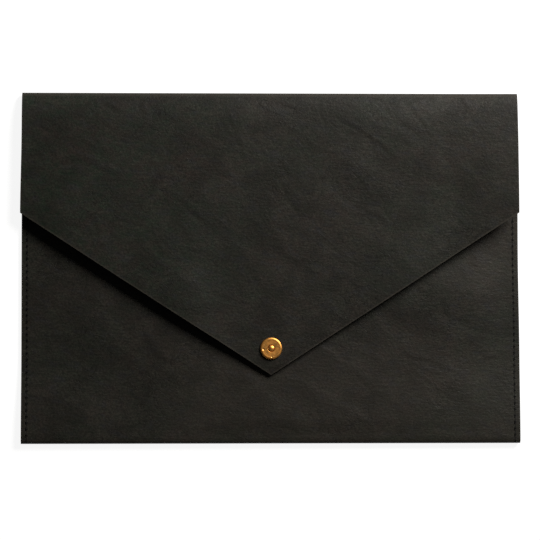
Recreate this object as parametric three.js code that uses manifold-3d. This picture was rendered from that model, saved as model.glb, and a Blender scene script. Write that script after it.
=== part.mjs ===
// Document folder for A4 sheets: one sheet of washable paper, folded into a pouch with a pointed flap.
// The pouch lies on its back. X runs across it, +Y points to the top fold and +Z is the front.
// The side seams are lockstitched, and a riveted press stud holds the flap. All sizes are in mm.
import * as THREE from "three";
import { mergeVertices } from "three/addons/utils/BufferGeometryUtils.js";
import Module from "manifold-3d";

// Folded sheet
const folderWidth = 340;
const folderHeight = 240;
const sheetThickness = 0.8;
const topFoldGap = 3.8; // clear height inside the top fold
const bottomFoldGap = 1.8; // clear height inside the bottom fold
const pocketGap = 4.8; // clear height of the pocket at its crown
const mouthSetback = 16; // from the top edge down to the mouth

// Pouch form
const seamPlyGap = 0.1; // between the two layers where they are sewn
const edgeLift = 0.6; // how far the sewn edges stand off the table
const edgeLiftRun = 10; // width over which the back rises to its edges
const foldEaseRun = 2.2; // length over which the sewn edges meet a fold
const crownMargin = 10; // flat crown kept below the stud's flange
const crownWidth = 236; // width of the flat crown
const flatSeamWidth = 8; // sewn strip along each side, pressed flat

// Flap
const flapSideLength = 81.4; // from the top edge down to the flap's corners
const flapPointRadius = 1.6;
const flapCrestHeight = 13.5; // underside of the arch at its crest
const crestAboveStud = 47; // from the crest down to the stud
const flapArchSkew = 1.5; // above 1 the arch rises late
const flapLeaveAngle = 20; // slope at which the flap leaves the top fold, in degrees
const flapLeaveRun = 9; // length over which that slope dies away
const flapPointDroop = 0.9; // how far the point hangs under the stud's seat
const flapSeatMargin = 1; // level part of the flap above the disc

// Seams
const seamInset = 3.7;
const stitchPitch = 4.3;
const threadDiameter = 0.5;
const threadSeat = 0.05; // between a thread and the sheet
const stitchBulge = 0.1; // how far a stitch's middle stands above its ends
const firstStitch = 4.0; // from the bottom edge up to the first hole
const seamTopMargin = 3; // from the last hole up to the mouth

// Press stud
const studDistance = 175; // from the top edge down to its axis
const pointBelowStud = 18; // from the stud's axis down to the flap's point
const studStack = 3.1; // from the front panel up to the flap's underside at the stud
const rivetHoleRadius = 1.6;
const rivetClearance = 0.1;
const discRadius = 7.25;
const discHeight = 2.0;
const discRimRadius = 0.35; // half the width of the rolled rim
const discRimStep = 0.25; // width of the slope from the rim down to the face
const discDishDepth = 0.55; // from the rim's top down to the dished face
const discDishFall = 0.1; // fall of the dished face towards the moat
const moatWidth = 0.7; // open ring between the dome and the dished face
const moatRound = 0.3; // rounding of the face into the moat
const brassSheet = 0.4;
const brassCorner = 0.1; // rounding of small pressed and rolled edges
const domeRadius = 2.25;
const domeHeight = 1.4;
const domeSkirt = 0.15; // straight foot of the dome
const barrelWall = 0.45; // wall of the hollow rivet and of the eyelet
const clenchRadius = 2.05;
const clenchHeight = 0.3;
const ballRadius = 3.1;
const ballUnderside = 0.6; // from the ball's widest line down to the neck
const ballCap = 0.4; // from the ball's widest line up to its top
const ballShoulder = 0.6; // how full the ball is halfway to its ends, as a share
const neckRadius = 2.6;
const neckRound = 0.3; // rounding of the neck into the flange
const studWall = 0.5;
const studFlangeRadius = 5.5;
const eyeletFlangeRadius = 5.0;
const flangeRound = 0.2;
const socketRadius = 4.9;
const socketRound = 0.25;
const ballClearance = 0.15; // ball to the socket's mouth
const springWire = 0.5;
const springGrip = 0.25; // how far the ring reaches in under the ball
const springDrop = 0.55; // from the ball's widest line down to the ring
const springGapAngle = 40; // open part of the ring, in degrees
const springSeat = 0.05; // between the ring and the socket's lip
const studAirGap = 0.1; // between pieces that pass or sit above each other

// Fineness of the curved forms
const easeSteps = 4;
const crownSideSteps = 8;
const crownEndSteps = 6;
const foldSteps = 12;
const leaveSteps = 7;
const leaveRuns = 2.5; // how many leave runs get close rows
const archSteps = 9; // from there to the crest, and from the crest to the seat
const pointSteps = 3;
const tipSegments = 4;
const slopeReach = 0.01; // step over which a slope is taken
const weldReach = 1e-4;
const domeSteps = 6;
const discSides = 36;
const latheSides = 28;
const threadSides = 4;
const springSteps = 24;
const springSides = 8;

const halfWidth = folderWidth / 2;
const topEdge = folderHeight / 2;
const bottomEdge = -folderHeight / 2;
const topFoldLine = topEdge - topFoldGap / 2 - sheetThickness;
const bottomFoldLine = bottomEdge + bottomFoldGap / 2 + sheetThickness;
const mouthEdge = topEdge - mouthSetback;
const pouchFront = sheetThickness + pocketGap + sheetThickness;
const studPlace = topEdge - studDistance;
const flapSeat = pouchFront + studStack;
const flapPointLength = studDistance + pointBelowStud;
const flapCrestDistance = studDistance - crestAboveStud;
const flapSeatFrom = studDistance - discRadius - flapSeatMargin;
const flapSeatTo = studDistance + discRadius;
const crownStart = studPlace - studFlangeRadius - crownMargin;
const seamPlace = halfWidth - seamInset;
const sewnEdge = halfWidth - flatSeamWidth;
const shankRadius = rivetHoleRadius - rivetClearance;
const barrelBore = shankRadius - barrelWall;
const ballLevel = studStack - brassSheet - clenchHeight - studAirGap - ballCap;
const springRadius = ballRadius - springGrip + springWire / 2;
const springLevel = ballLevel - springDrop;
const lipLevel = springLevel - springWire / 2 - springSeat;
const leaveAngle = THREE.MathUtils.degToRad(flapLeaveAngle);
const flapLeaveRise = flapLeaveRun * Math.tan(leaveAngle);
const flapStart = {
  distance: topEdge - topFoldLine - (topFoldGap / 2) * Math.sin(leaveAngle),
  height: sheetThickness + (topFoldGap / 2) * (1 + Math.cos(leaveAngle)),
};

const wasm = await Module();
wasm.setup();

const paper = { color: 0x24231f, roughness: 0.58, metalness: 0 };
const blackThread = { color: 0x0d0d0e, roughness: 0.75, metalness: 0 };
const brass = { color: 0xb98a4e, roughness: 0.32, metalness: 1 };
const nickelSteel = { color: 0xa9a69e, roughness: 0.35, metalness: 1 };

function finish(look) {
  return new THREE.MeshStandardMaterial(look);
}

function smooth(value, from, to) {
  return THREE.MathUtils.smoothstep(value, from, to);
}

function lerp(from, to, share) {
  return THREE.MathUtils.lerp(from, to, share);
}

// Keeps positions only, with shared corners merged.
function welded(geometry) {
  const bare = geometry.index ? geometry.toNonIndexed() : geometry.clone();
  bare.deleteAttribute("normal");
  bare.deleteAttribute("uv");
  return mergeVertices(bare, weldReach);
}

function toSolid(geometry) {
  const closed = welded(geometry);
  const triVerts = new Uint32Array(closed.index.array);
  const vertProperties = new Float32Array(closed.attributes.position.array);
  return new wasm.Manifold(new wasm.Mesh({ numProp: 3, vertProperties, triVerts }));
}

function toGeometry(solid) {
  const mesh = solid.getMesh();
  const geometry = new THREE.BufferGeometry();
  geometry.setAttribute("position", new THREE.BufferAttribute(mesh.vertProperties, 3));
  geometry.setIndex(new THREE.BufferAttribute(mesh.triVerts, 1));
  return geometry;
}

function namedMesh(name, geometry, look) {
  const mesh = new THREE.Mesh(geometry, finish(look));
  mesh.name = name;
  return mesh;
}

// A run of even steps from one value to another, both ends included.
function steps(from, to, count) {
  return Array.from({ length: count + 1 }, (_, i) => from + ((to - from) * i) / count);
}

// Sheet of one thickness over a grid of lines, its underside given by a height function.
function sheetOverGrid(acrossLines, alongLines, underside) {
  const columns = acrossLines.length;
  const rows = alongLines.length;
  const layer = columns * rows;
  const positions = [];
  for (const rise of [0, sheetThickness]) {
    for (const y of alongLines) {
      for (const x of acrossLines) positions.push(x, y, underside(x, y) + rise);
    }
  }
  const index = [];
  const quad = (a, b, c, d) => index.push(a, b, c, a, c, d);
  for (let j = 0; j < rows - 1; j++) {
    for (let i = 0; i < columns - 1; i++) {
      const a = j * columns + i;
      const [b, c, d] = [a + 1, a + columns + 1, a + columns];
      quad(layer + a, layer + b, layer + c, layer + d);
      quad(d, c, b, a);
    }
  }
  const wall = (a, b) => quad(a, b, layer + b, layer + a);
  for (let i = 0; i < columns - 1; i++) {
    wall(i, i + 1);
    wall((rows - 1) * columns + i + 1, (rows - 1) * columns + i);
  }
  for (let j = 0; j < rows - 1; j++) {
    wall((j + 1) * columns, j * columns);
    wall((j + 1) * columns - 1, (j + 2) * columns - 1);
  }
  const geometry = new THREE.BufferGeometry();
  geometry.setAttribute("position", new THREE.Float32BufferAttribute(positions, 3));
  geometry.setIndex(index);
  return geometry;
}

function mirrored(lines) {
  const both = [...lines.map((x) => -x).reverse(), ...lines];
  return both.filter((x, i) => i === 0 || x !== both[i - 1]);
}

// Underside of the back panel: flat on the table, lifted along the sewn edges.
function backUnderside(x, y) {
  const across = smooth(Math.abs(x), sewnEdge - edgeLiftRun, sewnEdge);
  const fromBottom = smooth(y, bottomFoldLine, bottomFoldLine + foldEaseRun);
  const fromTop = 1 - smooth(y, topFoldLine - foldEaseRun, topFoldLine);
  return edgeLift * across * fromBottom * fromTop;
}

// Underside of the front panel: it leaves the bottom fold level, is pinched to the back along
// the sides and swells to a flat crown.
function frontUnderside(x, y) {
  const foldLevel = sheetThickness + bottomFoldGap;
  const sewnLevel = edgeLift + sheetThickness + seamPlyGap;
  const crownLevel = sheetThickness + pocketGap;
  const pinching = smooth(y, bottomFoldLine, bottomFoldLine + foldEaseRun);
  const swelling = smooth(y, bottomFoldLine, crownStart);
  const share = 1 - smooth(Math.abs(x), crownWidth / 2, sewnEdge);
  return lerp(lerp(foldLevel, sewnLevel, pinching), lerp(foldLevel, crownLevel, swelling), share);
}

function backPanel() {
  const across = mirrored([0, ...steps(sewnEdge - edgeLiftRun, sewnEdge, easeSteps), halfWidth]);
  const along = [
    ...steps(bottomFoldLine, bottomFoldLine + foldEaseRun, easeSteps),
    ...steps(topFoldLine - foldEaseRun, topFoldLine, easeSteps),
  ];
  return sheetOverGrid(across, along, backUnderside);
}

function frontPanel() {
  const across = mirrored([0, ...steps(crownWidth / 2, sewnEdge, crownSideSteps), halfWidth]);
  const along = [
    ...steps(bottomFoldLine, bottomFoldLine + foldEaseRun, easeSteps),
    ...steps(bottomFoldLine + foldEaseRun, crownStart, crownEndSteps).slice(1),
    mouthEdge,
  ];
  const sheet = toSolid(sheetOverGrid(across, along, frontUnderside));
  return toGeometry(sheet.subtract(rivetHole(pouchFront)));
}

// Upright cutter through the sheet whose top is at the given level, standing out on both sides.
function rivetHole(top) {
  const length = 3 * sheetThickness;
  const hole = new THREE.CylinderGeometry(rivetHoleRadius, rivetHoleRadius, length, latheSides);
  hole.rotateX(Math.PI / 2);
  hole.translate(0, studPlace, top - sheetThickness / 2);
  return toSolid(hole);
}

// Bar along X from a closed outline given as (y, z).
function barAcross(outline, width) {
  const shape = new THREE.Shape(outline);
  const bar = new THREE.ExtrudeGeometry(shape, { depth: width, bevelEnabled: false });
  bar.applyMatrix4(new THREE.Matrix4().set(0, 0, 1, -width / 2, 1, 0, 0, 0, 0, 1, 0, 0, 0, 0, 0, 1));
  return bar;
}

// Fold between two layers, a half round less the angle by which the upper layer leaves it early.
// Side is 1 for a fold that bulges to +Y and -1 to -Y.
function fold(line, gap, side, leaveAngle) {
  const middle = sheetThickness + gap / 2;
  const arc = (radius, from, to) =>
    steps(from, to, foldSteps).map(
      (angle) => new THREE.Vector2(line + side * radius * Math.cos(angle), middle + radius * Math.sin(angle)),
    );
  const lower = -Math.PI / 2;
  const upper = Math.PI / 2 - leaveAngle;
  const outline = [...arc(gap / 2 + sheetThickness, lower, upper), ...arc(gap / 2, upper, lower)];
  return barAcross(outline, folderWidth);
}

// Underside of the flap, by distance down from the top edge: it springs out of the top fold, rises
// in one arch, comes down to the stud's level seat and droops a little to its point.
function flapUnderside(distance) {
  if (distance < flapCrestDistance) {
    const run = Math.max(0, distance - flapStart.distance);
    const sprung = flapLeaveRise * (1 - Math.exp(-run / flapLeaveRun));
    const share = (run / (flapCrestDistance - flapStart.distance)) ** flapArchSkew;
    const archRise = flapCrestHeight - flapStart.height - flapLeaveRise;
    return flapStart.height + sprung + archRise * smooth(share, 0, 1);
  }
  if (distance < flapSeatFrom) {
    return lerp(flapCrestHeight, flapSeat, smooth(distance, flapCrestDistance, flapSeatFrom));
  }
  const beyond = Math.max(0, distance - flapSeatTo) / (flapPointLength - flapSeatTo);
  return flapSeat - flapPointDroop * beyond ** 2;
}

// Direction square to the flap, in (y, z).
function flapNormal(distance) {
  const rise = flapUnderside(distance + slopeReach) - flapUnderside(distance);
  return new THREE.Vector2(rise, slopeReach).normalize();
}

// Plan outline of the flap: straight sides, then two straight edges to a blunt point.
function flapOutline() {
  const side = topEdge - flapSideLength;
  const point = topEdge - flapPointLength;
  const slope = (side - point) / halfWidth;
  const shape = new THREE.Shape();
  shape.moveTo(-halfWidth, topEdge);
  shape.lineTo(-halfWidth, side);
  shape.lineTo(-flapPointRadius, point + slope * flapPointRadius);
  shape.quadraticCurveTo(0, point, flapPointRadius, point + slope * flapPointRadius);
  shape.lineTo(halfWidth, side);
  shape.lineTo(halfWidth, topEdge);
  return shape;
}

function flapPanel() {
  const leaveEnd = flapStart.distance + leaveRuns * flapLeaveRun;
  const distances = [
    ...steps(flapStart.distance, leaveEnd, leaveSteps),
    ...steps(leaveEnd, flapCrestDistance, archSteps).slice(1),
    ...steps(flapCrestDistance, flapSeatFrom, archSteps).slice(1),
    ...steps(flapSeatTo, flapPointLength, pointSteps),
  ];
  const under = distances.map((d) => new THREE.Vector2(topEdge - d, flapUnderside(d)));
  const over = distances.map((d, i) => under[i].clone().addScaledVector(flapNormal(d), sheetThickness));
  over.reverse();
  const arched = toSolid(barAcross([...under, ...over], folderWidth));
  const height = flapCrestHeight + 2 * sheetThickness;
  const outline = new THREE.ExtrudeGeometry(flapOutline(), {
    depth: height,
    bevelEnabled: false,
    curveSegments: tipSegments,
  });
  const cut = arched.intersect(toSolid(outline));
  return toGeometry(cut.subtract(rivetHole(flapSeat + sheetThickness)));
}

// Turned or pressed piece: a closed section of (radius, height) points, spun round the stud's axis.
// The section runs up its outer side and comes back inside.
function spun(section, sides, level) {
  const points = section.map(([radius, height]) => new THREE.Vector2(radius, height));
  const onAxis = section[0][0] === 0 && section.at(-1)[0] === 0;
  if (!onAxis) points.push(points[0].clone());
  const piece = new THREE.LatheGeometry(points, sides);
  piece.rotateX(Math.PI / 2);
  piece.translate(0, studPlace, level);
  return welded(piece);
}

// Pressed brass disc on the flap: rolled rim, dished face, and a seat for the rivet at the bottom
// of a moat.
function faceDisc() {
  const dish = discHeight - discDishDepth;
  const rimInside = discRadius - 2 * discRimRadius;
  const dishEdge = rimInside - discRimStep;
  const moat = domeRadius + moatWidth;
  return spun(
    [
      [discRadius, 0],
      [discRadius, discHeight - discRimRadius],
      [discRadius - brassCorner, discHeight - brassCorner],
      [discRadius - discRimRadius, discHeight],
      [rimInside, discHeight - brassCorner],
      [dishEdge, dish],
      [moat + moatRound, dish - discDishFall],
      [moat, dish - moatRound],
      [moat, brassSheet],
      [rivetHoleRadius, brassSheet],
      [rivetHoleRadius, 0],
      [moat + brassSheet, 0],
      [moat + brassSheet, dish - discDishFall - brassSheet],
      [dishEdge - brassCorner, dish - brassSheet],
      [rimInside, discHeight - brassSheet - brassCorner],
      [discRadius - brassSheet, discHeight - 2 * discRimRadius],
      [discRadius - brassSheet, 0],
    ],
    discSides,
    flapSeat + sheetThickness,
  );
}

// Semi-tubular rivet: domed head on the disc, shank through disc, flap and socket, clenched end.
function faceRivet() {
  const clenchTop = -sheetThickness - brassSheet;
  const clenchEnd = clenchTop - clenchHeight;
  const dome = steps(0, Math.PI / 2, domeSteps).map((angle) => [
    domeRadius * Math.cos(angle),
    brassSheet + domeSkirt + (domeHeight - domeSkirt) * Math.sin(angle),
  ]);
  dome[domeSteps][0] = 0;
  return spun(
    [
      [0, -sheetThickness / 2],
      [barrelBore, -sheetThickness / 2],
      [barrelBore, clenchEnd + brassCorner],
      [barrelBore + brassCorner, clenchEnd],
      [clenchRadius - brassCorner, clenchEnd],
      [clenchRadius, clenchEnd + brassCorner],
      [clenchRadius, clenchTop],
      [shankRadius, clenchTop],
      [shankRadius, brassSheet],
      [domeRadius, brassSheet],
      ...dome,
    ],
    latheSides,
    flapSeat + sheetThickness,
  );
}

// Cup riveted under the flap, open downwards, with a lip that keeps the spring ring in.
function snapSocket() {
  const mouth = ballRadius + ballClearance;
  const bore = socketRadius - brassSheet;
  const roof = studStack - brassSheet;
  const lipUnder = lipLevel - brassSheet;
  return spun(
    [
      [mouth, lipLevel - brassCorner],
      [mouth + brassCorner, lipUnder + brassCorner],
      [socketRadius - socketRound, lipUnder],
      [socketRadius, lipUnder + socketRound],
      [socketRadius, studStack - socketRound],
      [socketRadius - socketRound, studStack],
      [rivetHoleRadius, studStack],
      [rivetHoleRadius, roof],
      [bore - socketRound, roof],
      [bore, roof - socketRound],
      [bore, lipLevel + brassCorner],
      [bore - brassCorner, lipLevel],
      [mouth, lipLevel],
    ],
    latheSides,
    pouchFront,
  );
}

// Arc of the split ring, lying level inside the socket.
class RingArc extends THREE.Curve {
  getPoint(share, target = new THREE.Vector3()) {
    const open = THREE.MathUtils.degToRad(springGapAngle);
    const angle = Math.PI / 2 + open / 2 + share * (2 * Math.PI - open);
    return target.set(springRadius * Math.cos(angle), springRadius * Math.sin(angle), 0);
  }
}

function socketSpring() {
  const section = new THREE.Shape();
  section.absarc(0, 0, springWire / 2, 0, 2 * Math.PI);
  const ring = new THREE.ExtrudeGeometry(section, {
    steps: springSteps,
    extrudePath: new RingArc(),
    curveSegments: springSides / 2,
  });
  ring.translate(0, studPlace, pouchFront + springLevel);
  return welded(ring);
}

// Hollow ball stud on the front panel.
function snapStud() {
  const top = ballLevel + ballCap;
  const bore = neckRadius - studWall;
  const shoulder = lerp(neckRadius, ballRadius, ballShoulder);
  return spun(
    [
      [studFlangeRadius, 0],
      [studFlangeRadius, brassSheet - flangeRound],
      [studFlangeRadius - flangeRound, brassSheet],
      [neckRadius + neckRound, brassSheet],
      [neckRadius, brassSheet + neckRound],
      [neckRadius, ballLevel - ballUnderside],
      [shoulder, ballLevel - ballShoulder * ballUnderside],
      [ballRadius, ballLevel],
      [shoulder, ballLevel + ballShoulder * ballCap],
      [neckRadius, top],
      [bore, top],
      [bore, brassSheet],
      [rivetHoleRadius, brassSheet],
      [rivetHoleRadius, 0],
    ],
    latheSides,
    pouchFront,
  );
}

// Eyelet from inside the pocket: flange under the front panel, barrel rolled over in the stud.
function studEyelet() {
  const rollStart = sheetThickness + brassSheet;
  const rollEnd = rollStart + clenchHeight;
  return spun(
    [
      [barrelBore, -brassSheet],
      [eyeletFlangeRadius - flangeRound, -brassSheet],
      [eyeletFlangeRadius, flangeRound - brassSheet],
      [eyeletFlangeRadius, 0],
      [shankRadius, 0],
      [shankRadius, rollStart],
      [clenchRadius, rollStart],
      [clenchRadius, rollEnd - brassCorner],
      [clenchRadius - brassCorner, rollEnd],
      [barrelBore + brassCorner, rollEnd],
    ],
    latheSides,
    pouchFront - sheetThickness,
  );
}

const seamStart = bottomEdge + firstStitch;
const stitchCount = Math.floor((mouthEdge - seamTopMargin - seamStart) / stitchPitch);

// Line of stitches lying on one face of a seam, high in the middle of a stitch and low at a hole.
class StitchLine extends THREE.Curve {
  constructor(place, level, bulge) {
    super();
    this.place = place;
    this.level = level;
    this.bulge = bulge;
  }

  getPoint(share, target = new THREE.Vector3()) {
    const along = share * stitchCount;
    const wave = (1 - Math.cos(2 * Math.PI * along)) / 2;
    return target.set(this.place, seamStart + along * stitchPitch, this.level + this.bulge * wave);
  }

  getPointAt(share, target) {
    return this.getPoint(share, target);
  }
}

function seamThread(place, level, bulge) {
  const section = new THREE.Shape();
  section.absarc(0, 0, threadDiameter / 2, 0, 2 * Math.PI);
  const thread = new THREE.ExtrudeGeometry(section, {
    steps: 2 * stitchCount,
    extrudePath: new StitchLine(place, level, bulge),
    curveSegments: threadSides / 2,
  });
  return welded(thread);
}

// Needle thread on the front of a seam and bobbin thread under its back.
function seam(name, place) {
  const lift = threadDiameter / 2 + threadSeat;
  const front = edgeLift + 2 * sheetThickness + seamPlyGap + lift;
  const back = edgeLift - lift;
  return [
    namedMesh(`${name}_needle_thread`, seamThread(place, front, stitchBulge), blackThread),
    namedMesh(`${name}_bobbin_thread`, seamThread(place, back, 0), blackThread),
  ];
}

const pouch = new THREE.Group();
pouch.add(
  namedMesh("back_panel", backPanel(), paper),
  namedMesh("bottom_fold", fold(bottomFoldLine, bottomFoldGap, -1, 0), paper),
  namedMesh("front_panel", frontPanel(), paper),
  namedMesh("top_fold", fold(topFoldLine, topFoldGap, 1, leaveAngle), paper),
  ...seam("left_seam", -seamPlace),
  ...seam("right_seam", seamPlace),
  namedMesh("snap_stud", snapStud(), brass),
  namedMesh("stud_eyelet", studEyelet(), brass),
);

const flap = new THREE.Group();
flap.add(
  namedMesh("flap_panel", flapPanel(), paper),
  namedMesh("face_disc", faceDisc(), brass),
  namedMesh("face_rivet", faceRivet(), brass),
  namedMesh("snap_socket", snapSocket(), brass),
  namedMesh("socket_spring", socketSpring(), nickelSteel),
);

const folder = new THREE.Group();
folder.add(pouch, flap);

export default folder;
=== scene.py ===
import logging
import math
from collections.abc import Iterator
from contextlib import contextmanager
from dataclasses import dataclass, field
from enum import Enum
from functools import reduce

import bmesh
import bpy
import numpy as np
from mathutils import Euler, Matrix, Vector


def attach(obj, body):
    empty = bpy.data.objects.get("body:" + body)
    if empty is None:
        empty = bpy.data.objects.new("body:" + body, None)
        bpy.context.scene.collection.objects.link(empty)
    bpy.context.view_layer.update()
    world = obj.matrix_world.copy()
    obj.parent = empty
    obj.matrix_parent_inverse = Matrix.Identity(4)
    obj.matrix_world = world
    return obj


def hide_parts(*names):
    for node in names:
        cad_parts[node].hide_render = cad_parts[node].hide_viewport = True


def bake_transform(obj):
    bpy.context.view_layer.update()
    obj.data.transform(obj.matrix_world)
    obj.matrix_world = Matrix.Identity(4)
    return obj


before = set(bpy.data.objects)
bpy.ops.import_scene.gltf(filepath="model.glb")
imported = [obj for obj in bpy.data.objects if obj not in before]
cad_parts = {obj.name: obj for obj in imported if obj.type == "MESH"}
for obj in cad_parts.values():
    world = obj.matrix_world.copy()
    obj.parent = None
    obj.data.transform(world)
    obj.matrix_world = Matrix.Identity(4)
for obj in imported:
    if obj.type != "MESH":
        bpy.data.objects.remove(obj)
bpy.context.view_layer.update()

LOG = logging.getLogger("document_folder")
MM = 0.001
SHEET_MAP = "flat_sheet"
EDGE_MAP = "from_raw_edge"
Array = np.ndarray
Pair = tuple[float, float]
Triple = tuple[float, float, float]
Colour = Triple
Piece = bpy.types.Object
Socket = bpy.types.NodeSocket


class Body(Enum):
    """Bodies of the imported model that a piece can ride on."""

    POUCH = "pouch"
    FLAP = "flap"


class Slot(Enum):
    """Material slots of the record."""

    PAPER = "paper"
    THREAD = "thread"
    BRASS = "brass"
    SPRING = "spring_wire"


def smooth(value: Array, low: float, high: float) -> Array:
    """Eases from 0 at low to 1 at high."""
    share = np.clip((value - low) / (high - low), 0.0, 1.0)
    return share * share * (3.0 - 2.0 * share)


def bell(value: Array, middle: float, width: float) -> Array:
    """Round rise, 1 at the middle and 0.37 a width away from it."""
    return np.exp(-(((value - middle) / width) ** 2))


class Bench:
    """Small helpers round bpy.ops, as a modeller would use them by hand."""

    @staticmethod
    def clear() -> None:
        """Deselects every object."""
        if bpy.context.object and bpy.context.object.mode != "OBJECT":
            bpy.ops.object.mode_set(mode="OBJECT")
        bpy.ops.object.select_all(action="DESELECT")

    @staticmethod
    def pick(*pieces: Piece) -> None:
        """Selects only these pieces and makes the first one active.

        Args:
            pieces: Objects to select.
        """
        Bench.clear()
        for piece in pieces:
            piece.select_set(True)
        bpy.context.view_layer.objects.active = pieces[0]

    @staticmethod
    @contextmanager
    def editing(piece: Piece) -> Iterator[bmesh.types.BMesh]:
        """Opens a piece in edit mode with all of it selected.

        Args:
            piece: Mesh object to edit.

        Yields:
            Its edit mesh, for selecting by place.
        """
        Bench.pick(piece)
        bpy.ops.object.mode_set(mode="EDIT")
        bpy.ops.mesh.select_all(action="SELECT")
        yield bmesh.from_edit_mesh(piece.data)
        bpy.ops.object.mode_set(mode="OBJECT")

    @staticmethod
    def choose(piece: Piece, links: int) -> None:
        """Selects only the corners where this many edges meet, in edit mode. The edges stay selected as they are.

        Args:
            piece: Mesh object in edit mode.
            links: Number of edges.
        """
        edit = bmesh.from_edit_mesh(piece.data)
        for corner in edit.verts:
            corner.select_set(len(corner.link_edges) == links)
        edit.select_flush(True)
        bmesh.update_edit_mesh(piece.data)

    @staticmethod
    def named(name: str) -> Piece:
        """Names the active object and its mesh.

        Args:
            name: New name.

        Returns:
            The active object.
        """
        piece = bpy.context.view_layer.objects.active
        piece.name = name
        piece.data.name = name
        return piece

    @staticmethod
    def apply_place(piece: Piece) -> None:
        """Puts a piece's place, turn and size into its mesh."""
        Bench.pick(piece)
        bpy.ops.object.transform_apply(location=True, rotation=True, scale=True)

    @staticmethod
    def apply_modifier(piece: Piece, kind: str, **settings: object) -> None:
        """Adds a modifier with these settings and applies it.

        Args:
            piece: Object to modify.
            kind: Blender's name of the modifier type.
            settings: Values of the modifier's properties.
        """
        Bench.pick(piece)
        modifier = piece.modifiers.new(kind.lower(), kind)
        for key, value in settings.items():
            setattr(modifier, key, value)
        bpy.ops.object.modifier_apply(modifier=modifier.name)

    @staticmethod
    def smooth_faces(piece: Piece, angle: float) -> None:
        """Shades a piece smooth, with edges sharper than the angle in degrees kept hard."""
        Bench.pick(piece)
        bpy.ops.object.shade_smooth_by_angle(angle=math.radians(angle))

    @staticmethod
    def wire(name: str, places: list[Triple], radius: float, fineness: int) -> Piece:
        """Round wire with closed ends.

        Args:
            name: Name of the piece.
            places: Points along its middle.
            radius: Radius of the wire.
            fineness: Steps in a quarter of its section.

        Returns:
            The wire as a mesh.
        """
        Bench.clear()
        bpy.ops.curve.primitive_nurbs_path_add()
        path = Bench.named(name)
        path.data.splines.clear()
        spline = path.data.splines.new("POLY")
        spline.points.add(len(places) - 1)
        for point, place in zip(spline.points, places):
            point.co = (*place, 1.0)
        path.data.bevel_depth = radius
        path.data.bevel_resolution = fineness
        path.data.use_fill_caps = True
        Bench.pick(path)
        bpy.ops.object.convert(target="MESH")
        return Bench.named(name)


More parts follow.
